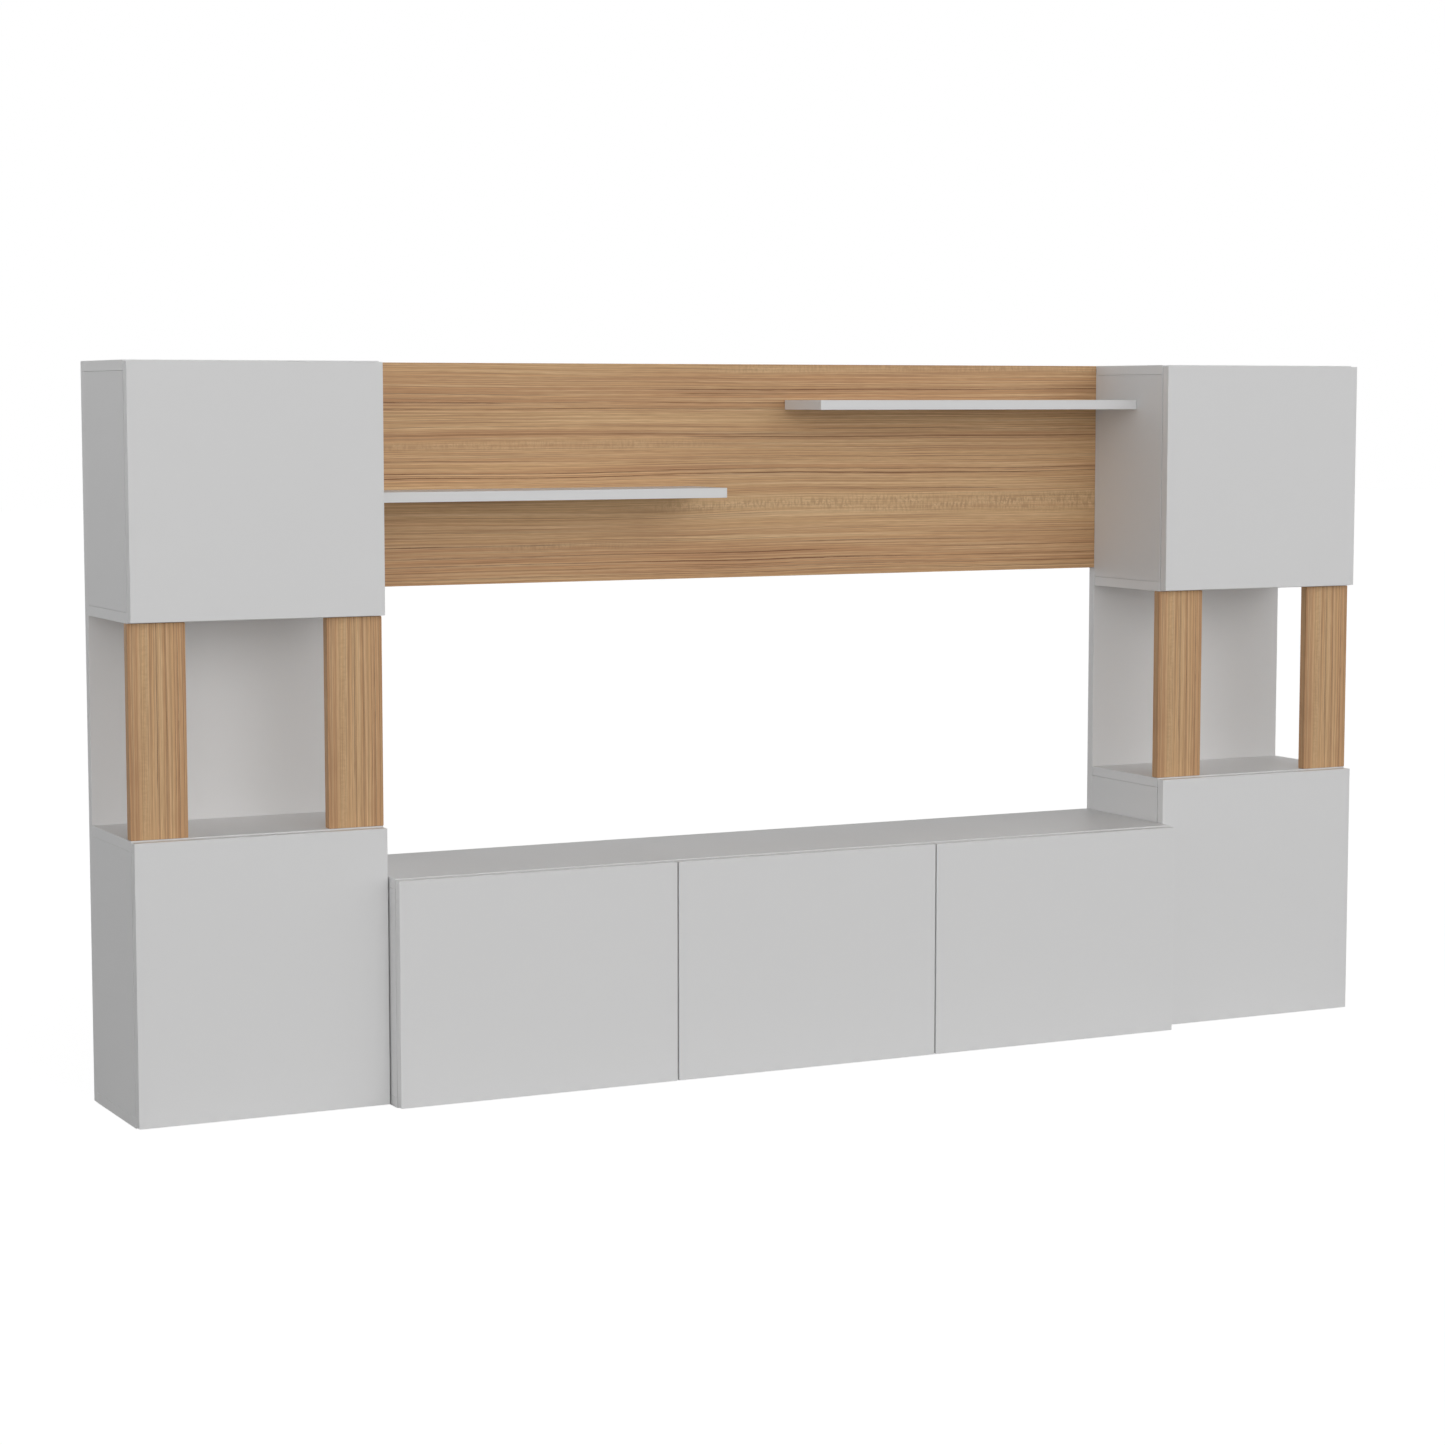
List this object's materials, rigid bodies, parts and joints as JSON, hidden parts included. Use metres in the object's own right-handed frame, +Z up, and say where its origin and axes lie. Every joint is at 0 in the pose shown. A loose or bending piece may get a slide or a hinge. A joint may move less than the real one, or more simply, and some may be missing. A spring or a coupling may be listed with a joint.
{
  "type": "tv unit",
  "caption": "Wall-side TV unit: two door towers with open niches between wood posts, a low door console, a wood wall panel and two staggered shelves.",
  "frame": {"origin": "on the floor, in the middle of the unit's width and of its depth", "axes": "+X to the right as seen from the front, -Y out of the fronts, +Y into the wall, +Z up"},
  "size_m": [2.504, 0.314, 1.288],
  "materials": {
    "white_melamine": "satin white melamine on chipboard",
    "oak_melamine": "satin oak-pattern melamine on chipboard",
    "white_hardboard": "matt white lacquered hardboard",
    "nickelled_steel": "nickel-plated",
    "grey_plastic": "fine matt"
  },
  "bodies": {
    "carcass": {"left_back_panel": "white_melamine", "left_lower_bottom": "white_melamine", "left_lower_top": "white_melamine", "left_lower_outer_side": "white_melamine", "left_lower_inner_side": "white_melamine", "left_upper_bottom": "white_melamine", "left_upper_top": "white_melamine", "left_upper_outer_side": "white_melamine", "left_upper_inner_side": "white_melamine", "left_niche_left_post": "oak_melamine", "left_niche_right_post": "oak_melamine", "right_back_panel": "white_melamine", "right_lower_bottom": "white_melamine", "right_lower_top": "white_melamine", "right_lower_outer_side": "white_melamine", "right_lower_inner_side": "white_melamine", "right_upper_bottom": "white_melamine", "right_upper_top": "white_melamine", "right_upper_outer_side": "white_melamine", "right_upper_inner_side": "white_melamine", "right_niche_left_post": "oak_melamine", "right_niche_right_post": "oak_melamine", "console_top": "white_melamine", "console_bottom": "white_melamine", "console_left_side": "white_melamine", "console_right_side": "white_melamine", "console_left_divider": "white_melamine", "console_right_divider": "white_melamine", "console_back_panel": "white_hardboard", "wood_panel": "oak_melamine", "lower_shelf": "white_melamine", "upper_shelf": "white_melamine"},
    "left_lower_door": {"left_lower_door": "white_melamine"},
    "left_lower_links": {"left_lower_lower_hinge_link": "nickelled_steel", "left_lower_upper_hinge_link": "nickelled_steel"},
    "left_lower_plunger": {"left_lower_latch_plunger": "grey_plastic"},
    "left_upper_door": {"left_upper_door": "white_melamine"},
    "left_upper_links": {"left_upper_lower_hinge_link": "nickelled_steel", "left_upper_upper_hinge_link": "nickelled_steel"},
    "left_upper_plunger": {"left_upper_latch_plunger": "grey_plastic"},
    "right_lower_door": {"right_lower_door": "white_melamine"},
    "right_lower_links": {"right_lower_lower_hinge_link": "nickelled_steel", "right_lower_upper_hinge_link": "nickelled_steel"},
    "right_lower_plunger": {"right_lower_latch_plunger": "grey_plastic"},
    "right_upper_door": {"right_upper_door": "white_melamine"},
    "right_upper_links": {"right_upper_lower_hinge_link": "nickelled_steel", "right_upper_upper_hinge_link": "nickelled_steel"},
    "right_upper_plunger": {"right_upper_latch_plunger": "grey_plastic"},
    "console_left_door": {"console_left_door": "white_melamine"},
    "console_left_links": {"console_left_lower_hinge_link": "nickelled_steel", "console_left_upper_hinge_link": "nickelled_steel"},
    "console_left_plunger": {"console_left_latch_plunger": "grey_plastic"},
    "console_middle_door": {"console_middle_door": "white_melamine"},
    "console_middle_links": {"console_middle_lower_hinge_link": "nickelled_steel", "console_middle_upper_hinge_link": "nickelled_steel"},
    "console_middle_plunger": {"console_middle_latch_plunger": "grey_plastic"},
    "console_right_door": {"console_right_door": "white_melamine"},
    "console_right_links": {"console_right_lower_hinge_link": "nickelled_steel", "console_right_upper_hinge_link": "nickelled_steel"},
    "console_right_plunger": {"console_right_latch_plunger": "grey_plastic"}
  },
  "joints": [
    {"name": "left_lower_door_hinge", "type": "hinge", "parent": "carcass", "child": "left_lower_door", "pos_m": [-1.2463, -0.1065, 0], "axis": [0, 0, -1], "range_deg": [0, 105]},
    {"name": "left_lower_links_swing", "type": "hinge", "parent": "carcass", "child": "left_lower_links", "pos_m": [-1.2223, -0.089, 0], "axis": [0, 0, 1], "range_deg": [0, 31.5]},
    {"name": "left_lower_plunger_slide", "type": "slide", "parent": "carcass", "child": "left_lower_plunger", "axis": [0, 1, 0], "range_m": [0, 0.002], "stiffness_N_per_m": 600},
    {"name": "left_upper_door_hinge", "type": "hinge", "parent": "carcass", "child": "left_upper_door", "pos_m": [-1.2463, -0.1065, 0], "axis": [0, 0, -1], "range_deg": [0, 105]},
    {"name": "left_upper_links_swing", "type": "hinge", "parent": "carcass", "child": "left_upper_links", "pos_m": [-1.2223, -0.089, 0], "axis": [0, 0, 1], "range_deg": [0, 31.5]},
    {"name": "left_upper_plunger_slide", "type": "slide", "parent": "carcass", "child": "left_upper_plunger", "axis": [0, 1, 0], "range_m": [0, 0.002], "stiffness_N_per_m": 600},
    {"name": "right_lower_door_hinge", "type": "hinge", "parent": "carcass", "child": "right_lower_door", "pos_m": [1.2463, -0.1065, 0], "axis": [0, 0, 1], "range_deg": [0, 105]},
    {"name": "right_lower_links_swing", "type": "hinge", "parent": "carcass", "child": "right_lower_links", "pos_m": [1.2223, -0.089, 0], "axis": [0, 0, -1], "range_deg": [0, 31.5]},
    {"name": "right_lower_plunger_slide", "type": "slide", "parent": "carcass", "child": "right_lower_plunger", "axis": [0, 1, 0], "range_m": [0, 0.002], "stiffness_N_per_m": 600},
    {"name": "right_upper_door_hinge", "type": "hinge", "parent": "carcass", "child": "right_upper_door", "pos_m": [1.2463, -0.1065, 0], "axis": [0, 0, 1], "range_deg": [0, 105]},
    {"name": "right_upper_links_swing", "type": "hinge", "parent": "carcass", "child": "right_upper_links", "pos_m": [1.2223, -0.089, 0], "axis": [0, 0, -1], "range_deg": [0, 31.5]},
    {"name": "right_upper_plunger_slide", "type": "slide", "parent": "carcass", "child": "right_upper_plunger", "axis": [0, 1, 0], "range_m": [0, 0.002], "stiffness_N_per_m": 600},
    {"name": "console_left_door_hinge", "type": "hinge", "parent": "carcass", "child": "console_left_door", "pos_m": [-0.7943, -0.152, 0], "axis": [0, 0, -1], "range_deg": [0, 105]},
    {"name": "console_left_links_swing", "type": "hinge", "parent": "carcass", "child": "console_left_links", "pos_m": [-0.7703, -0.1345, 0], "axis": [0, 0, 1], "range_deg": [0, 31.5]},
    {"name": "console_left_plunger_slide", "type": "slide", "parent": "carcass", "child": "console_left_plunger", "axis": [0, 1, 0], "range_m": [0, 0.002], "stiffness_N_per_m": 600},
    {"name": "console_middle_door_hinge", "type": "hinge", "parent": "carcass", "child": "console_middle_door", "pos_m": [-0.26043, -0.152, 0], "axis": [0, 0, -1], "range_deg": [0, 105]},
    {"name": "console_middle_links_swing", "type": "hinge", "parent": "carcass", "child": "console_middle_links", "pos_m": [-0.23643, -0.1345, 0], "axis": [0, 0, 1], "range_deg": [0, 31.5]},
    {"name": "console_middle_plunger_slide", "type": "slide", "parent": "carcass", "child": "console_middle_plunger", "axis": [0, 1, 0], "range_m": [0, 0.002], "stiffness_N_per_m": 600},
    {"name": "console_right_door_hinge", "type": "hinge", "parent": "carcass", "child": "console_right_door", "pos_m": [0.7943, -0.152, 0], "axis": [0, 0, 1], "range_deg": [0, 105]},
    {"name": "console_right_links_swing", "type": "hinge", "parent": "carcass", "child": "console_right_links", "pos_m": [0.7703, -0.1345, 0], "axis": [0, 0, -1], "range_deg": [0, 31.5]},
    {"name": "console_right_plunger_slide", "type": "slide", "parent": "carcass", "child": "console_right_plunger", "axis": [0, 1, 0], "range_m": [0, 0.002], "stiffness_N_per_m": 600}
  ],
  "couplings": [
    {"joint": "left_lower_links_swing", "follows": "left_lower_door_hinge", "ratio": 0.297},
    {"joint": "left_upper_links_swing", "follows": "left_upper_door_hinge", "ratio": 0.297},
    {"joint": "right_lower_links_swing", "follows": "right_lower_door_hinge", "ratio": 0.297},
    {"joint": "right_upper_links_swing", "follows": "right_upper_door_hinge", "ratio": 0.297},
    {"joint": "console_left_links_swing", "follows": "console_left_door_hinge", "ratio": 0.297},
    {"joint": "console_middle_links_swing", "follows": "console_middle_door_hinge", "ratio": 0.297},
    {"joint": "console_right_links_swing", "follows": "console_right_door_hinge", "ratio": 0.297}
  ]
}
